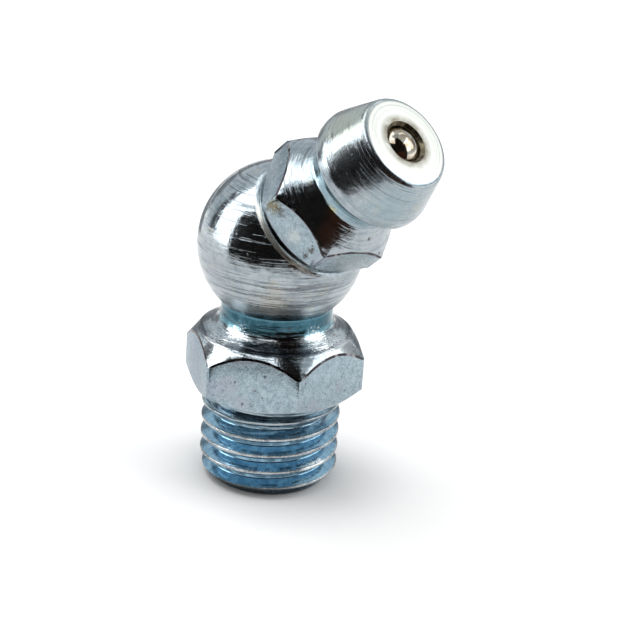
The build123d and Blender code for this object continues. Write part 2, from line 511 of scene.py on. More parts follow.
def flat_faces(mesh, across_flats, turn):
    """The indices of the faces on a hexagon's flats, with the side that each is on."""
    found = {}
    for face in mesh.polygons:
        bearing = degrees(atan2(face.normal.y, face.normal.x)) - turn
        side = round(bearing / 60)
        out = hypot(face.center.x, face.center.y) * cos(
            atan2(face.center.y, face.center.x) - radians(turn + 60 * side)
        )
        faces_side = abs(face.normal.z) < FLAT_RISE and abs(bearing - 60 * side) < FLAT_SWING
        if faces_side and abs(out - across_flats / 2 * MM) < FLAT_OFF:
            found[face.index] = side % 6
    return found


def bevel_where(piece, wanted, width, segments):
    """Bevels the edges that the test accepts, given the faces that share the edge."""
    mesh = piece.data
    faces_at = {}
    for face in mesh.polygons:
        for key in face.edge_keys:
            faces_at.setdefault(key, []).append(face.index)
    select_none(piece, "EDGE")
    for edge in mesh.edges:
        edge.select = wanted(faces_at.get(edge.key, []))
    bpy.ops.object.mode_set(mode="EDIT")
    bpy.ops.mesh.bevel(offset=width * MM, segments=segments, profile=0.5, clamp_overlap=False)
    stop_editing()


def soften_hexagon(piece, across_flats, turn, arris):
    """Rounds the six upright arrises, then breaks the curved edges of the flats."""
    flats = flat_faces(piece.data, across_flats, turn)

    def between_flats(faces):
        return len({flats[f] for f in faces if f in flats}) == 2

    bevel_where(piece, between_flats, arris, ARRIS_SEGMENTS)
    flats = flat_faces(piece.data, across_flats, turn)
    normals = [face.normal.copy() for face in piece.data.polygons]

    def round_a_flat(faces):
        return (
            len(faces) == 2
            and sum(f in flats for f in faces) == 1
            and normals[faces[0]].dot(normals[faces[1]]) < SAME_SURFACE
        )

    bevel_where(piece, round_a_flat, FLAT_EDGE, EDGE_SEGMENTS)


def finish_mesh(piece, name, place=None, sharp_angle=32):
    """Names the piece, puts it in its place, closes its doubles and smooths it between its sharp edges."""
    piece.name = name
    piece.data.name = name
    if place is not None:
        piece.matrix_world = place
    work_on(piece)
    bpy.ops.object.transform_apply(location=True, rotation=True, scale=True)
    edit_all(piece)
    bpy.ops.mesh.remove_doubles(threshold=DOUBLES)
    bpy.ops.mesh.fill_holes(sides=3)
    bpy.ops.mesh.dissolve_degenerate(threshold=DOUBLES)
    bpy.ops.mesh.normals_make_consistent(inside=False)
    stop_editing()
    bpy.ops.object.shade_smooth_by_angle(angle=radians(sharp_angle))
    return piece


# ---------------- fitting body
def threaded_rod():
    """A right-hand threaded rod, from below the shank's end to just inside the hexagon."""
    root_r = THREAD_R - THREAD_DEPTH
    flank = (PITCH - CREST_FLAT - ROOT_FLAT) / 2
    turns = int(SHANK_LENGTH / PITCH)
    start = CREST_AT_X - PITCH / 2 - PITCH * (turns + 2)
    profile = rounded([
        (root_r, start),
        (root_r, start + ROOT_FLAT / 2, ROOT_FILLET),
        (THREAD_R, start + (ROOT_FLAT / 2 + flank), CREST_BREAK),
        (THREAD_R, start + (ROOT_FLAT / 2 + flank + CREST_FLAT), CREST_BREAK),
        (root_r, start + (PITCH - ROOT_FLAT / 2), ROOT_FILLET),
        (root_r, start + PITCH),
    ], THREAD_ARC_STEP)
    deselect()
    bpy.ops.mesh.primitive_plane_add(size=MM, location=(profile[0][0] * MM, 0, profile[0][1] * MM))
    rod = bpy.context.object
    bpy.ops.object.transform_apply(location=True)
    edit_all(rod)
    bpy.ops.mesh.merge(type="CENTER")
    for before, here in zip(profile, profile[1:]):
        move = (here - before) * MM
        bpy.ops.mesh.extrude_region_move(TRANSFORM_OT_translate={"value": (move[0], 0, move[1])})
    stop_editing()
    screw = rod.modifiers.new("thread", "SCREW")
    screw.angle = 2 * pi
    screw.screw_offset = PITCH * MM
    screw.iterations = turns + 5
    screw.steps = screw.render_steps = SEGMENTS // 2
    screw.use_merge_vertices = True
    screw.merge_threshold = THREAD_DOUBLES
    bpy.ops.object.modifier_apply(modifier=screw.name)
    edit_all(rod)
    bpy.ops.mesh.remove_doubles(threshold=THREAD_DOUBLES)
    for height, above in ((ROD_TOP, True), (-SHANK_LENGTH - ROD_PAST_END, False)):
        bpy.ops.mesh.select_all(action="SELECT")
        bpy.ops.mesh.bisect(
            plane_co=(0, 0, height * MM), plane_no=(0, 0, 1), clear_outer=above, clear_inner=not above,
            use_fill=True, threshold=THREAD_DOUBLES,
        )
    turn_outwards()
    return rod


def threaded_shank():
    """The threaded rod, faced to the shank's length and chamfered at its end."""
    rod = threaded_rod()
    end_r = THREAD_R - SHANK_END_CHAMFER
    envelope = turned([
        (end_r - ENVELOPE_RING, -SHANK_LENGTH),
        (end_r, -SHANK_LENGTH, SHANK_END_BREAK),
        (THREAD_R + ENVELOPE_MARGIN, -SHANK_LENGTH + SHANK_END_CHAMFER + ENVELOPE_MARGIN),
        (THREAD_R + ENVELOPE_MARGIN, ENVELOPE_MARGIN),
    ])
    combine(rod, envelope, "INTERSECT")
    return rod


def fitting_blank():
    """The turned blank above the thread: run-out, hexagon, shoulder, neck and ball."""
    corner_r = BODY_AF / 2 * HEX_CORNER
    outer_r = corner_r + BLANK_RUN_OUT
    cone = tan(radians(BODY_CONE_ANGLE))
    shoulder = BODY_CORNER_HEIGHT + (corner_r - SHOULDER_R) * cone
    neck_low = shoulder + (SHOULDER_R - NECK_R) * tan(radians(SHOULDER_ANGLE))
    meets = degrees(acos((NECK_R + BALL_ROOT) / (BALL_R + BALL_ROOT)))
    corners = [
        (THREAD_R - THREAD_DEPTH - JOIN_DEPTH, RUN_OUT_LOW),
        (THREAD_R - RUN_OUT_INSET, RUN_OUT_HIGH),
        (THREAD_R - RUN_OUT_INSET, 0),
        (SEAT_R, 0),
        (outer_r, (outer_r - SEAT_R) * tan(radians(SEAT_CHAMFER_ANGLE))),
        (outer_r, BODY_CORNER_HEIGHT - BLANK_RUN_OUT * cone),
        (SHOULDER_R, shoulder, SHOULDER_BREAK),
        (NECK_R, neck_low, NECK_FILLET_R),
        (NECK_R, BALL_HEIGHT - (BALL_R + BALL_ROOT) * sin(radians(meets))),
    ]
    blank = turned(corners + arc(BALL_R, BALL_HEIGHT, BALL_ROOT_STEP - meets, BALL_POLE, BALL_STEP))
    select_none(blank, "FACE")
    top = max(blank.data.polygons, key=lambda face: face.center.z)
    top.select = True
    bpy.ops.object.mode_set(mode="EDIT")
    bpy.ops.mesh.merge(type="COLLAPSE")
    stop_editing()
    return blank


def outlet_drill():
    """Cuts the outlet passage, from its countersink up to the ball's centre."""
    return turned([
        (OUTLET_R + OUTLET_COUNTERSINK + TOOL_PAST, -SHANK_LENGTH - TOOL_PAST),
        (OUTLET_R, -SHANK_LENGTH + OUTLET_COUNTERSINK),
        (OUTLET_R, BALL_HEIGHT),
        (DRILL_TIP_R, BALL_HEIGHT + OUTLET_R / tan(radians(DRILL_POINT / 2))),
    ])


def spot_face_cutter():
    """Cuts the spot face on the head's axis, and rolls its rim over into the ball."""
    rim_r = sqrt(BALL_R**2 - SPOT_FACE**2)
    out, up = SPOT_TOOL_SKIRT
    cutter = turned([
        (rim_r - SPOT_TOOL_WALL, 0),
        (rim_r - SPOT_TOOL_INSET, 0, SPOT_EDGE),
        (rim_r + out, up),
        (rim_r + SPOT_TOOL_WALL, SPOT_TOOL_WALL_FOOT),
        (rim_r + SPOT_TOOL_WALL, BALL_R),
    ])
    cutter.matrix_world = HEAD_PLACE
    return cutter


def socket_drill():
    """Cuts the head's socket, and the short bore behind it that reaches the ball's centre."""
    floor = -STEM_LENGTH - SOCKET_GAP
    drill = turned([
        (ELBOW_BORE_R, -SPOT_FACE),
        (ELBOW_BORE_R, floor),
        (STEM_R - PRESS_FIT, floor),
        (STEM_R - PRESS_FIT, SOCKET_TOOL_TOP),
    ])
    drill.matrix_world = HEAD_PLACE
    return drill


def fitting_body():
    """Threaded shank, hexagon, neck and ball in one piece, with its passages and the socket."""
    body = fitting_blank()
    mill_flats(body, BODY_AF, BODY_HEX_TURN, MILL_LOW, BODY_MILL_TOP)
    soften_hexagon(body, BODY_AF, BODY_HEX_TURN, BODY_ARRIS)
    combine(body, threaded_shank(), "UNION")
    for tool in (outlet_drill, spot_face_cutter, socket_drill):
        combine(body, tool(), "DIFFERENCE")
    return finish_mesh(body, "fitting_body")


# ---------------- nipple head, check ball and spring
def nipple_head():
    """Stem, hexagon, cone, groove, land and nose in one bored piece."""
    corner_r = HEAD_AF / 2 * HEX_CORNER
    outer_r = corner_r + BLANK_RUN_OUT
    chamfer = tan(radians(HEAD_CHAMFER_ANGLE))
    shoulder = HEAD_CORNER_HEIGHT + (corner_r - HEAD_SHOULDER_R) * chamfer
    land_front = HEAD_HEIGHT - NOSE_LENGTH
    land_back = land_front - LAND_LENGTH
    groove_front = land_back - (LAND_R - GROOVE_R)
    groove_back = groove_front - GROOVE_WIDTH
    face_r = LAND_R - NOSE_LENGTH * tan(radians(NOSE_TAPER))
    bore_end = LIP_LENGTH - STEM_LENGTH
    head = turned([
        (LIP_R, -STEM_LENGTH),
        (STEM_R - STEM_CHAMFER, -STEM_LENGTH),
        (STEM_R, -STEM_LENGTH + STEM_CHAMFER),
        (STEM_R, 0),
        (HEAD_FOOT_R, 0),
        (outer_r, (outer_r - HEAD_FOOT_R) * tan(radians(HEAD_FOOT_ANGLE))),
        (outer_r, HEAD_CORNER_HEIGHT - BLANK_RUN_OUT * chamfer),
        (HEAD_SHOULDER_R, shoulder, HEAD_SHOULDER_BREAK),
        (GROOVE_R, groove_back, GROOVE_FILLET),
        (GROOVE_R, groove_front, GROOVE_FILLET),
        (LAND_R, land_back, LAND_EDGE),
        (LAND_R, land_front, LAND_BLEND),
        (face_r, HEAD_HEIGHT, FACE_EDGE),
        (MOUTH_R + MOUTH_COUNTERSINK, HEAD_HEIGHT, MOUTH_BREAK),
        (MOUTH_R, HEAD_HEIGHT - MOUTH_COUNTERSINK, MOUTH_BREAK),
        (MOUTH_R, SEAT_HEIGHT),
        (SPRING_BORE_R, SEAT_HEIGHT - SPRING_BORE_R + MOUTH_R),
        (SPRING_BORE_R, bore_end),
        (LIP_R, bore_end),
    ], bored=True)
    first_flat = HEAD_HEX_TURN + FLAT_TO_CORNER
    mill_flats(head, HEAD_AF, first_flat, MILL_LOW, shoulder + HEAD_MILL_PAST)
    soften_hexagon(head, HEAD_AF, first_flat, HEAD_ARRIS)
    return finish_mesh(head, "nipple_head", HEAD_PLACE)


def check_ball():
    """The hardened ball behind the mouth."""
    ball = turned(arc(CHECK_BALL_R, 0, -CHECK_BALL_POLE, CHECK_BALL_POLE, CHECK_BALL_STEP))
    return finish_mesh(ball, "check_ball_polished", head_matrix(CHECK_BALL_HEIGHT), 60)


def check_spring():
    """Round wire coiled from the rolled-in lip to the back of the ball."""
    contact = sqrt((CHECK_BALL_R + SPRING_WIRE_R + SPRING_GAP) ** 2 - SPRING_COIL_R**2)
    low = LIP_LENGTH - STEM_LENGTH + SPRING_WIRE_R + SPRING_GAP
    rise = CHECK_BALL_HEIGHT - contact - low
    slope = atan2(rise, 2 * pi * SPRING_COIL_R * SPRING_TURNS)
    deselect()
    bpy.ops.mesh.primitive_circle_add(
        vertices=WIRE_SIDES, radius=SPRING_WIRE_R * MM, location=(SPRING_COIL_R * MM, 0, 0),
        rotation=(pi / 2 + slope, 0, 0),
    )
    spring = bpy.context.object
    bpy.ops.object.transform_apply(location=True, rotation=True)
    coil = spring.modifiers.new("coil", "SCREW")
    coil.angle = 2 * pi * SPRING_TURNS
    coil.screw_offset = rise * MM
    coil.steps = coil.render_steps = WIRE_STEPS
    bpy.ops.object.modifier_apply(modifier=coil.name)
    edit_all(spring)
    bpy.ops.mesh.select_all(action="DESELECT")
    bpy.ops.mesh.select_non_manifold()
    bpy.ops.mesh.fill_holes(sides=0)
    stop_editing()
    return finish_mesh(spring, "check_spring_wire", head_matrix(low), 50)


# ---------------- shader helpers
def feed(tree, slot, value):
    """Links the slot to a socket or a Value, or sets it to a number, a vector or a colour."""
    if isinstance(value, Value):
        value = value.socket
    if isinstance(value, bpy.types.NodeSocket):
        tree.links.new(value, slot)
    elif slot.type == "RGBA":
        slot.default_value = (*value, 1)
    else:
        slot.default_value = value


def add_node(tree, kind, settings=None, **inputs):
    """A node of that kind: its settings first, then its sockets' values or links, by name."""
    node = tree.nodes.new(kind)
    for key, value in (settings or {}).items():
        setattr(node, key, value)
    for name, value in inputs.items():
        feed(tree, node.inputs[name.replace("_", " ")], value)
    return node


class Value:
    """A number on a node socket, on which arithmetic adds the Math nodes."""

    def __init__(self, tree, socket):
        self.tree, self.socket = tree, socket

    def math(self, operation, *others):
        node = add_node(self.tree, "ShaderNodeMath", {"operation": operation})
        for slot, item in zip(node.inputs, (self, *others)):
            feed(self.tree, slot, item)
        return Value(self.tree, node.outputs[0])

    def __add__(self, other):
        return self.math("ADD", other)

    def __sub__(self, other):
        return self.math("SUBTRACT", other)

    def __mul__(self, other):
        return self.math("MULTIPLY", other)

    def __truediv__(self, other):
        return self.math("DIVIDE", other)

    def __pow__(self, other):
        return self.math("POWER", other)

    __radd__ = __add__
    __rmul__ = __mul__

    def __rsub__(self, other):
        return self * -1 + other

    def step(self, low, high):
        """0 below low, 1 above high and smooth between; low may be the larger."""
        rising = low < high
        node = add_node(
            self.tree, "ShaderNodeMapRange", {"interpolation_type": "SMOOTHSTEP"}, Value=self,
            From_Min=low if rising else high, From_Max=high if rising else low,
            To_Min=0.0 if rising else 1.0, To_Max=1.0 if rising else 0.0,
        )
        return Value(self.tree, node.outputs[0])

    def band(self, low, high, soft):
        """1 between low and high, with soft ends."""
        return self.step(low - soft, low + soft) * self.step(high + soft, high - soft)


class Finish:
    """A metal on one Principled shader, with its textures in millimetres on Object coordinates."""

    def __init__(self, name, place=None, metallic=1.0):
        self.material = bpy.data.materials.new(name)
        self.material.use_nodes = True
        self.tree = self.material.node_tree
        self.shader = self.tree.nodes["Principled BSDF"]
        self.shader.inputs["Metallic"].default_value = metallic
        position = self.add("ShaderNodeTexCoord").outputs["Object"]
        if place is not None:
            turn = place.inverted()
            position = self.add(
                "ShaderNodeMapping", Vector=position, Location=turn.translation, Rotation=turn.to_euler(),
            ).outputs[0]
        self.position = self.add(
            "ShaderNodeVectorMath", {"operation": "SCALE"}, Vector=position, Scale=1 / MM,
        ).outputs[0]
        axes = self.add("ShaderNodeSeparateXYZ", Vector=self.position)
        self.x, self.y, self.z = (Value(self.tree, axis) for axis in axes.outputs)
        self.r = (self.x * self.x + self.y * self.y) ** 0.5

    def add(self, kind, settings=None, **inputs):
        return add_node(self.tree, kind, settings, **inputs)

    def noise(self, size, detail=3.0, roughness=0.55, at=None, distortion=0.0):
        """Noise with features of about that many millimetres, from 0 to 1."""
        node = self.add(
            "ShaderNodeTexNoise", Vector=at or self.position, Scale=1 / size, Detail=detail,
            Roughness=roughness, Distortion=distortion,
        )
        return Value(self.tree, node.outputs["Fac"])

    def point(self, x, y, z):
        """A coordinate made of three values."""
        return self.add("ShaderNodeCombineXYZ", X=x, Y=y, Z=z).outputs[0]

    def tool_marks(self, size, stretch=25.0):
        """Streaks round the turning axis, about that many millimetres apart along it."""
        squeezed = self.point(self.x * (1 / stretch), self.y * (1 / stretch), self.z)
        return self.noise(size, roughness=0.65, at=squeezed)

    def pits(self, spacing, radius, share):
        """Round spots of about that radius, in that share of the cells."""
        cells = self.add("ShaderNodeTexVoronoi", Vector=self.position, Scale=1 / spacing)
        distance = Value(self.tree, cells.outputs["Distance"]) * spacing
        colour = self.add("ShaderNodeSeparateColor", Color=cells.outputs["Color"])
        chosen = Value(self.tree, colour.outputs[0]).step(share + 0.01, share - 0.01)
        size = Value(self.tree, colour.outputs[1]) * 0.7 + 0.5
        return (distance / size).step(radius, radius * 0.55) * chosen

    def spot(self, place, radius):
        """1 at a place in the finish's own millimetres, with a ragged edge at that radius."""
        away = self.add("ShaderNodeVectorMath", {"operation": "DISTANCE"}, Vector=self.position)
        feed(self.tree, away.inputs[1], place)
        ragged = self.noise(0.13, detail=5.0, roughness=0.8) * (5 * radius) - 2.5 * radius
        return (Value(self.tree, away.outputs["Value"]) + ragged).step(radius * 1.2, radius * 0.3)

    def blend(self, first, second, factor):
        """From the first colour to the second by the factor."""
        node = self.add("ShaderNodeMix", {"data_type": "RGBA", "clamp_factor": True}, Factor=factor)
        feed(self.tree, node.inputs[6], first)
        feed(self.tree, node.inputs[7], second)
        return node.outputs[2]

    def layered(self, colour, layers):
        """The colour under the layers, each a colour of its own and how far it covers."""
        for tint, factor in layers:
            colour = self.blend(colour, tint, factor)
        return colour

    def stains_and_painted_light(self, stains_and_painted_light):
        """A layer for each stain, and for each painted highlight or shade among them."""
        return [(tint, self.spot(place, radius) * strength) for place, radius, tint, strength in stains_and_painted_light]

    def relief(self, height, depth=BUMP_DEPTH):
        """A bump whose heights are counted in that many millimetres."""
        bump = self.add("ShaderNodeBump", Height=height, Distance=depth * MM, Strength=1.0)
        feed(self.tree, self.shader.inputs["Normal"], bump.outputs[0])

    def paint(self, colour, roughness):
        """The finished material."""
        feed(self.tree, self.shader.inputs["Base Color"], colour)
        feed(self.tree, self.shader.inputs["Roughness"], roughness)
        return self.material


# ---------------- zones of the turned finishes
def neck_recess(finish):
    """1 in the neck between the hexagon's shoulder and the ball, fading above and below."""
    return finish.z.band(*NECK_ZONE, 0.35)


def ball_root(finish):
    """1 where the ball runs into the neck."""
    return finish.z.band(*BALL_ROOT_ZONE, 0.2)


def body_scores(finish):
    """1 on the shoulder above the hexagon, and nearly as much on the ball's lower half."""
    return finish.z.band(*SHOULDER_ZONE, 0.15) + finish.z.band(*LOW_BALL_ZONE, 0.5) * 0.9


def body_shape(finish):
    """The cone above the hexagon, slightly crowned."""
    low, high = CROWN_ZONE
    return (high - finish.z.math("MAXIMUM", low)).math("MAXIMUM", 0.0) * 17.5


def groove_recess(finish):
    """A weak mask in the groove behind the coupling land."""
    return finish.z.band(*GROOVE_ZONE, 0.35) * 0.24


def nose(finish):
    """A weak mask on the nose, in front of the coupling land."""
    return finish.z.step(*NOSE_RISE) * 0.4


def head_shape(finish):
    """The cone slightly hollow, and the nose crowned towards its face."""
    past_land = (finish.z - NOSE_CROWN_START).math("MAXIMUM", 0.0)
    return finish.z.step(*HEAD_CONE_RISE) * 7.0 - past_land ** 2 * 2.4


# ---------------- finishes
def plated_turning(name, recess, matt, shape, stains_and_painted_light, place=None, scored=None, marks=1.0, roughness=0.11):
    """Bright zinc on a turned surface: tool marks, a slight orange peel, pits, a blue tint in the recess that
    deepens there into painted shade, and the layers of the stain list.
    """
    finish = Finish(name, place)
    clouds = finish.noise(1.9, detail=4.0, roughness=0.6)
    blotches = finish.noise(0.5, detail=4.0, roughness=0.65, distortion=0.5)
    streaks = finish.tool_marks(MARK_SIZE)
    fine_streaks = finish.tool_marks(MARK_SIZE * 0.5, 40.0)
    grooves = finish.tool_marks(MARK_SIZE * 1.2, 40.0).step(0.42, 0.34)
    wander = finish.noise(1.1, detail=2.0).step(0.38, 0.62) * 0.9 + 0.35
    if scored is not None:
        scores = scored(finish)
        wander = (wander + scores * 0.7) * (1 - finish.z.band(*CONE_ZONE, 0.1) * 0.7)
        grooves = grooves.math("MAXIMUM", finish.tool_marks(0.1, 60.0).step(0.46, 0.4) * scores)
    peel = finish.noise(0.3, detail=2.5, roughness=0.5, distortion=0.6)
    yellowed = finish.noise(0.8, distortion=1.0).step(0.58, 0.72)
    pits = finish.pits(0.42, 0.045, 0.1)

    layers = [
        (LAVENDER, clouds.step(0.52, 0.68) * 0.25),
        (STRAW, yellowed * 0.3),
        (SCORE, grooves * 0.7),
    ]
    if scored is not None:
        ring = finish.z.band(*SHOULDER_RING_ZONE, 0.05) * streaks.step(0.7, 0.45)
        layers.append((SHOULDER_RING, ring * 0.9))
    sunk_tint_and_shade = recess(finish)
    layers += [
        # A blue tint in the recess, and deeper in it painted shade
        (BLUE, sunk_tint_and_shade.step(0.0, 0.5)),
        (DEEP_BLUE_SHADE, sunk_tint_and_shade.step(0.3, 0.9) * (blotches * 0.9 + 0.3)),
        (GRIME, pits),
        # The stain list's layers, painted highlights and shade among them
        *finish.stains_and_painted_light(stains_and_painted_light),
    ]
    colour = finish.blend(DULL, BRIGHT, (blotches * 0.45 + streaks * 0.55).step(0.38, 0.58))
    colour = finish.layered(colour, layers)

    rough = blotches * 0.14 + streaks * 0.06 + (matt(finish) * 0.2 + roughness - 0.09) + pits * 0.3
    lines = (streaks * 1.25 + fine_streaks * 0.45 - grooves * 0.8) * wander * marks
    finish.relief(lines + peel * 0.6 - pits * 2.0 + shape(finish))
    return finish.paint(colour, rough)


def plated_flat(name, stains_and_painted_light, place=None):
    """Duller zinc on the drawn flats of a hexagon: mottled, pitted and slightly scratched."""
    finish = Finish(name, place)
    clouds = finish.noise(1.7, detail=4.0, roughness=0.6)
    blotches = finish.noise(0.34, detail=4.0, roughness=0.7, distortion=0.8)
    grain = finish.noise(0.055)
    pits = finish.pits(0.3, 0.05, 0.25).math("MAXIMUM", finish.pits(0.7, 0.085, 0.25) * 0.8)
    specks = finish.pits(0.14, 0.026, 0.22) * clouds.step(0.42, 0.55)
    colour = finish.blend(FLAT_DULL, FLAT_BRIGHT, (blotches * 0.45 + grain * 0.55).step(0.34, 0.64))
    colour = finish.layered(colour, [
        (LAVENDER, clouds.step(0.52, 0.68) * 0.5),
        (FLAT_PIT, pits.math("MAXIMUM", specks * 0.8) * 0.85),
        *finish.stains_and_painted_light(stains_and_painted_light),
    ])
    finish.relief(blotches * 1.6 + grain * 0.9 - pits * 2.5)
    return finish.paint(colour, blotches * 0.2 + 0.14 + pits * 0.2)


def plated_edge(name, place=None):
    """The broken edges round the flats, dark with painted shade, and lighter in patches of noise."""
    finish = Finish(name, place)
    lighter_patches = finish.noise(0.5)
    # Painted shade, lighter in patches
    colour = finish.blend(EDGE_PAINTED_SHADE, EDGE_LIGHTER, lighter_patches.step(0.52, 0.66))
    return finish.paint(colour, lighter_patches * 0.2 + 0.15)


def rubbed_rim():
    """The rolled rim round the spot face, with a dull cream painted highlight on the low side, and scored
    along itself.
    """
    finish = Finish("rubbed_rim", HEAD_PLACE)
    scores = finish.noise(0.07, at=finish.point(finish.r, finish.x * 0.2, finish.z))
    low_side = (finish.x * -1 - finish.y * 0.3).step(2.4, 3.2)
    plain = finish.blend(DULL, BRIGHT, scores.step(0.35, 0.6))
    # Painted highlight, cream, on the low side of the rim
    highlight = finish.blend(RIM_SHADE, RIM_PAINTED_HIGHLIGHT, scores.step(0.36, 0.5))
    finish.relief(scores * 1.5)
    return finish.paint(finish.blend(plain, highlight, low_side), low_side * 0.25 + 0.12)


def plated_thread():
    """Blue zinc in the thread, with worn crests over a line of painted shade, painted shade in the roots, and
    a dark end chamfer of painted shade.
    """
    finish = Finish("plated_thread")
    blotches = finish.noise(0.4, detail=4.0, roughness=0.65, distortion=0.4)
    grain = finish.noise(0.1, detail=2.0)
    wear_and_shade = finish.noise(0.9)
    marks = finish.tool_marks(0.09)
    pits = finish.pits(0.5, 0.05, 0.12)
    turn = finish.y.math("ARCTAN2", finish.x) * (-0.5 / pi)
    from_crest = ((finish.z - CREST_AT_X) * (1 / PITCH) + turn + 0.5).math("FRACT") - 0.5
    crest = from_crest.band(-0.085, 0.1, 0.02) * finish.r.step(THREAD_R - 0.25, THREAD_R - 0.15)
    # Painted shade in patches: a dark line under each crest, and in the roots
    below = from_crest.band(-0.17, -0.11, 0.03) * wear_and_shade.step(0.4, 0.5)
    root = from_crest.math("ABSOLUTE").step(0.4, 0.47) * wear_and_shade.step(0.62, 0.5)
    run_out = finish.z.step(-1.55, -1.2)
    # Painted shade on the end chamfer
    end = finish.z.step(-SHANK_LENGTH + 0.62, -SHANK_LENGTH + 0.45) * finish.r.step(2.2, 3.2)

    worn = finish.blend(CREST_DULL, CREST_WORN, (grain * 0.5 + wear_and_shade * 0.5).step(0.4, 0.56))
    streaked = finish.blend(RUN_OUT_DARK, RUN_OUT_PALE, marks.step(0.42, 0.56))
    colour = finish.layered(finish.blend(THREAD_BLUE, THREAD_PALE, blotches.step(0.35, 0.65)), [
        (ROOT_SHADE, root * 0.8),
        (CREST_SHADE, below * 0.85),
        (worn, crest),
        (streaked, run_out * 0.8),
        (END_SHADE, end * (grain * 0.8 + 0.5)),
        (GRIME, pits),
        # Painted highlights, white glints on one crest
        *((CREST_GLINT, finish.spot(glint, GLINT_R)) for glint in THREAD_GLINTS),
    ])
    skin = blotches * 0.9 + grain * 0.2 + crest * grain * 1.2
    finish.relief(skin + run_out * marks * 3.0 - below * 2.0 - pits * 2.0)
    return finish.paint(colour, blotches * 0.12 + 0.1 + end * 0.25)


def turned_face():
    """The bright faced-off front, with tool rings and a straw tint round the mouth."""
    finish = Finish("turned_face", HEAD_PLACE)
    rings = finish.noise(0.11, roughness=0.7, at=finish.point(finish.r, 0.0, 0.0))
    blotches = finish.noise(0.5, detail=4.0)
    tint = finish.r.step(1.68, 1.28) * (blotches * 0.8 + rings * 0.7).step(0.4, 0.9)
    colour = finish.blend(FACE_DULL, FACE_BRIGHT, rings.step(0.34, 0.5))
    colour = finish.blend(colour, MOUTH_STRAW, tint * 0.8)
    finish.relief(rings * 2.4 + blotches * 0.3, FACE_BUMP_DEPTH)
    return finish.paint(colour, rings * 0.2 + 0.22)


def greased_bore():
    """The mouth and the bores, darkened by painted shade in the hollow and browned by old grease."""
    finish = Finish("greased_bore", HEAD_PLACE, metallic=0.85)
    blotches = finish.noise(0.3, detail=4.0)
    colour = finish.blend(GREASE_AND_SHADE_BLACK, GREASE_BROWN, blotches.step(0.4, 0.7))
    finish.relief(blotches)
    return finish.paint(colour, blotches * 0.3 + 0.15)


def polished_ball():
    """Hardened ball, brown with a film of grease."""
    finish = Finish("polished_ball")
    haze = finish.noise(0.35, detail=4.0)
    colour = finish.blend(BALL_BROWN, BALL_PALE, haze.step(0.4, 0.6))
    return finish.paint(colour, haze * 0.12 + 0.04)


def spring_wire():
    """Drawn spring steel, dark with grease."""
    finish = Finish("spring_wire")
    haze = finish.noise(0.2, detail=4.0)
    colour = finish.blend(WIRE_DARK, WIRE_PALE, haze)
    return finish.paint(colour, haze * 0.2 + 0.25)


# ---------------- where each finish goes
def paint_zones(piece, finishes, zone_at, into=Matrix.Identity(4)):
    """Gives each face the finish of its zone, found from its centre and normal in the piece's own frame."""
    turn = into.to_3x3()
    zones = list(finishes)
    for finish in finishes.values():
        piece.data.materials.append(finish)
    for face in piece.data.polygons:
        face.material_index = zones.index(zone_at((into @ face.center) / MM, turn @ face.normal))


def body_zone(centre, normal):
    """The zone of one of the body's faces; the spot face itself is turned."""
    across = hypot(centre.x, centre.y)
    if centre.z > BALL_HEIGHT - BALL_R:
        along_head = (INTO_HEAD @ (centre * MM)).z
        inside_ball = (centre - Vector((0, 0, BALL_HEIGHT))).length < BALL_R - BALL_SKIN
        faces_head = (INTO_HEAD.to_3x3() @ normal).z >= SPOT_FACE_NORMAL
        if inside_ball and along_head > -RIM_DEPTH * MM and not faces_head:
            return "rim"
    if across < THREAD_R + BORE_MARGIN and centre.z < -SEAT_MARGIN:
        return "thread"
    low, high = BODY_HEX_HEIGHTS
    if across > SEAT_R - SEAT_EDGE and low < centre.z < high and normal.z < BODY_CONE_NORMAL:
        return "flats" if normal.z < FLAT_NORMAL else "edges"
    return "turning"


def head_zone(centre, normal):
    """The zone of one of the head's faces."""
    across = hypot(centre.x, centre.y)
    in_bore = across < SPRING_BORE_R + BORE_MARGIN and centre.z < SEAT_HEIGHT
    if across < MOUTH_R + MOUTH_COUNTERSINK or in_bore:
        return "bore"
    if centre.z > HEAD_HEIGHT - FACE_SKIN:
        return "face"
    low, high = HEAD_HEX_HEIGHTS
    beside_hexagon = across > HEAD_FOOT_R + HEAD_FOOT_EDGE and low < centre.z < high
    if beside_hexagon and HEAD_FOOT_NORMAL < normal.z < HEAD_CONE_NORMAL:
        return "flats" if abs(normal.z) < FLAT_NORMAL else "edges"
    return "turning"


# ---------------- camera, lamps, cards and floor
def studio_direction(bearing, elevation):
    """A direction from the fitting, in degrees round from the camera and above the horizon."""
    turn = radians(CAMERA_TURN - 90 + bearing)
    rise = radians(elevation)
    return Vector((cos(turn) * cos(rise), sin(turn) * cos(rise), sin(rise)))


def add_camera():
    turn, tilt, roll = (radians(a) for a in (CAMERA_TURN, CAMERA_TILT, CAMERA_ROLL))
    ahead = Vector((-sin(turn) * cos(tilt), cos(turn) * cos(tilt), -sin(tilt)))
    right = Vector((cos(turn), sin(turn), 0))
    up = right.cross(ahead)
    across = right * cos(roll) + up * sin(roll)
    upright = up * cos(roll) - right * sin(roll)
    camera = bpy.data.objects.new("camera", bpy.data.cameras.new("camera"))
    camera.matrix_world = Matrix.Translation(CAMERA_PLACE) @ Matrix(
        (across, upright, -ahead)
    ).transposed().to_4x4()
    camera.data.lens = LENS
    camera.data.clip_start = CLIP_START
    bpy.context.collection.objects.link(camera)
    bpy.context.scene.camera = camera


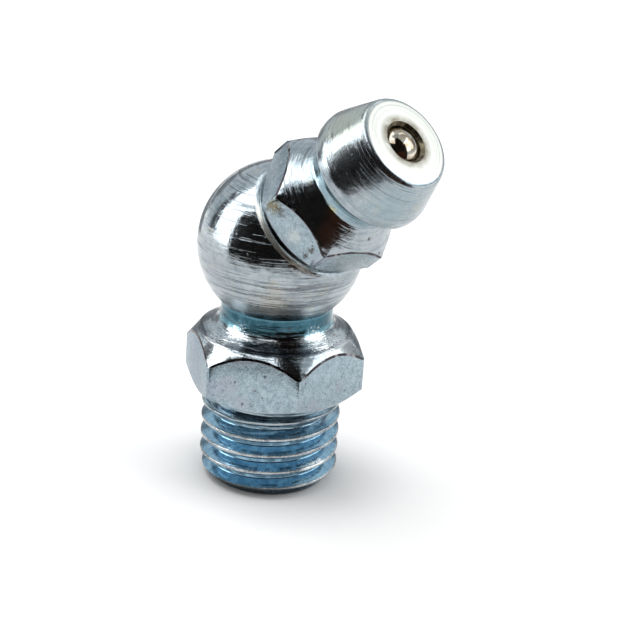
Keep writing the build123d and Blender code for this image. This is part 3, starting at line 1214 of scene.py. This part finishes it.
def add_softbox(name, bearing, elevation, width, height, radiance):
    """A rectangular softbox that faces the fitting and isn't seen by the camera."""
    lamp = bpy.data.lights.new(name, "AREA")
    lamp.shape = "RECTANGLE"
    lamp.size, lamp.size_y = width, height
    lamp.energy = radiance * pi * width * height
    box = bpy.data.objects.new(name, lamp)
    direction = studio_direction(bearing, elevation)
    box.location = STUDIO_CENTRE + direction * SOFTBOX_DISTANCE
    box.rotation_euler = direction.to_track_quat("Z", "Y").to_euler()
    box.visible_camera = False
    bpy.context.collection.objects.link(box)
    return box


def add_lamps():
    """A softbox on each side for the bright bands on the metal, and a key that metal doesn't show."""
    left = add_softbox("softbox_left", -88, 29, 0.25, 0.51, 3.0)
    left.visible_diffuse = False
    add_softbox("softbox_right", 89, 31, 0.34, 0.275, 2.0)
    key = add_softbox("key", -105, 74, 0.35, 0.35, 2.6)
    key.visible_glossy = False


def glow(name, radiance):
    """A material that only shines."""
    material = bpy.data.materials.new(name)
    material.use_nodes = True
    material.node_tree.nodes.clear()
    light = add_node(material.node_tree, "ShaderNodeEmission", Color=radiance)
    add_node(material.node_tree, "ShaderNodeOutputMaterial", Surface=light.outputs[0])
    material.cycles.emission_sampling = "NONE"
    return material


def add_card(name, radius, bearings, elevations, radiance):
    """A shining card, part of a sphere round the fitting, that only reflections see."""
    deselect()
    bpy.ops.mesh.primitive_uv_sphere_add(
        segments=SHELL_SEGMENTS, ring_count=SHELL_SEGMENTS // 2, radius=radius, location=STUDIO_CENTRE,
    )
    card = bpy.context.object
    bpy.ops.object.transform_apply(location=True)
    card.name = name
    select_none(card, "FACE")
    for face in card.data.polygons:
        way = face.center - STUDIO_CENTRE
        bearing = (degrees(atan2(way.y, way.x)) - CAMERA_TURN + 90 + 180) % 360 - 180
        elevation = degrees(atan2(way.z, hypot(way.x, way.y)))
        inside = bearings[0] < bearing < bearings[1] and elevations[0] < elevation < elevations[1]
        face.select = not inside
    bpy.ops.object.mode_set(mode="EDIT")
    bpy.ops.mesh.delete(type="FACE")
    stop_editing()
    card.visible_camera = card.visible_diffuse = card.visible_shadow = card.visible_transmission = False
    card.data.materials.append(glow(name, radiance))


def add_cards():
    """The pale tent round the fitting, and the bright, grey and dark cards that its metal reflects."""
    add_card("tent", TENT_R, ALL_ROUND, (-91, 91), TENT)
    add_card("tent_top", CARD_R, ALL_ROUND, (76, 91), TENT_TOP)
    for name, radius, low in (("front", CARD_R, 0), ("front_low", LOW_CARD_R, -13)):
        add_card(name + "_edge", radius, (-70, -54), (low * 0.5, 48), BLACK_CARD)
        add_card(name + "_left", radius, (-54, 12), (low, 52), BLACK_CARD)
        add_card(name + "_brown", radius, (12, 52), (low, 24), BROWN_CARD)
        add_card(name + "_right", radius, (52, 63), (low, 48), BLACK_CARD)
        add_card(name + "_middle", radius, (12, 52), (24, 48), BLACK_CARD)
    add_card("front_top", FRONT_TOP_R, (3, 63), (48, 81), BLACK_CARD)
    add_card("sky", SKY_R, (-128, 3), (55, 79), SKY)
    add_card("sky_back", SKY_R, (-172, -128), (58, 79), SKY)
    add_card("sky_right", SKY_R, (141, 152), (46, 64), SKY)
    add_card("strip", CARD_R, (-119, -107), (-3, 38), STRIP_GREY)
    add_card("right_back", CARD_R, (117, 141), (8, 26), SIDE_GREY)
    for side, bearings in (("left", (-181, -140)), ("right", (144, 181))):
        add_card("horizon_" + side, CARD_R, bearings, (0, 14), HORIZON_GREY)
        add_card("horizon_low_" + side, LOW_CARD_R, bearings, (-9, 4), HORIZON_GREY)


def seen_directly(tree):
    """1 for rays from the camera, from gloss and through glass."""
    path = add_node(tree, "ShaderNodeLightPath")
    camera, glossy, through = (
        Value(tree, path.outputs[name])
        for name in ("Is Camera Ray", "Is Glossy Ray", "Is Transmission Ray")
    )
    return (camera + glossy + through).math("MINIMUM", 1.0)


def add_floor():
    """White paper that shows whiter where it is seen, and keeps the fitting's shadow; the whitening starts a
    few millimetres out, which paints a darker shadow round the fitting's foot.
    """
    deselect()
    bpy.ops.mesh.primitive_plane_add(size=FLOOR_SIZE, location=(0, 0, FLOOR_Z))
    floor = bpy.context.object
    floor.name = "floor"
    paper = bpy.data.materials.new("floor_paper")
    paper.use_nodes = True
    tree = paper.node_tree
    shader = tree.nodes["Principled BSDF"]
    feed(tree, shader.inputs["Base Color"], (FLOOR_TONE, FLOOR_TONE, FLOOR_TONE))
    feed(tree, shader.inputs["Roughness"], 1.0)
    feed(tree, shader.inputs["Specular IOR Level"], 0.0)
    feed(tree, shader.inputs["Emission Color"], (1, 1, 1))
    place = add_node(tree, "ShaderNodeTexCoord").outputs["Object"]
    away = add_node(tree, "ShaderNodeVectorMath", {"operation": "LENGTH"}, Vector=place)
    distance = Value(tree, away.outputs["Value"]) / MM
    # Less whitening near the fitting, a painted shadow round its foot
    lift_and_painted_shadow = distance.step(*FLOOR_LIFT_REACH) * FLOOR_LIFT + distance.step(*FAR_FLOOR_REACH) * FAR_FLOOR_LIFT
    feed(tree, shader.inputs["Emission Strength"], seen_directly(tree) * lift_and_painted_shadow)
    floor.data.materials.append(paper)


def light_world():
    """White where it is seen, and a dimmer fill on what it lights."""
    world = bpy.data.worlds.new("studio")
    bpy.context.scene.world = world
    world.use_nodes = True
    background = world.node_tree.nodes["Background"]
    strength = seen_directly(world.node_tree) * (1 - WORLD_FILL) + WORLD_FILL
    feed(world.node_tree, background.inputs["Color"], (1, 1, 1))
    feed(world.node_tree, background.inputs["Strength"], strength)


# ---------------- the fitting, put together
body = fitting_body()
paint_zones(body, {
    "turning": plated_turning(
        "plated_body", neck_recess, ball_root, body_shape, BODY_STAINS_AND_PAINTED_LIGHT, scored=body_scores,
    ),
    "flats": plated_flat("plated_body_flats", BODY_FLAT_STAINS_AND_SHADE),
    "thread": plated_thread(),
    "edges": plated_edge("plated_body_edges"),
    "rim": rubbed_rim(),
}, body_zone)
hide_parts("elbow_body")
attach(body, "fitting")

head = nipple_head()
paint_zones(head, {
    "turning": plated_turning(
        "plated_head", groove_recess, nose, head_shape, HEAD_STAINS, HEAD_PLACE, marks=0.8, roughness=0.12,
    ),
    "flats": plated_flat("plated_head_flats", HEAD_FLAT_STAINS_AND_SHADE, HEAD_PLACE),
    "face": turned_face(),
    "bore": greased_bore(),
    "edges": plated_edge("plated_head_edges", HEAD_PLACE),
}, head_zone, INTO_HEAD)
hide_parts("nipple_head")
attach(head, "fitting")

ball = check_ball()
ball.data.materials.append(polished_ball())
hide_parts("check_ball")
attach(ball, "check_ball")

spring = check_spring()
spring.data.materials.append(spring_wire())
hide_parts("check_spring")
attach(spring, "fitting")
spring_seat = head_matrix(LIP_LENGTH - STEM_LENGTH).translation
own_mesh(spring)

add_camera()
add_floor()
light_world()
add_cards()
add_lamps()
bpy.context.scene.view_settings.view_transform = "Standard"
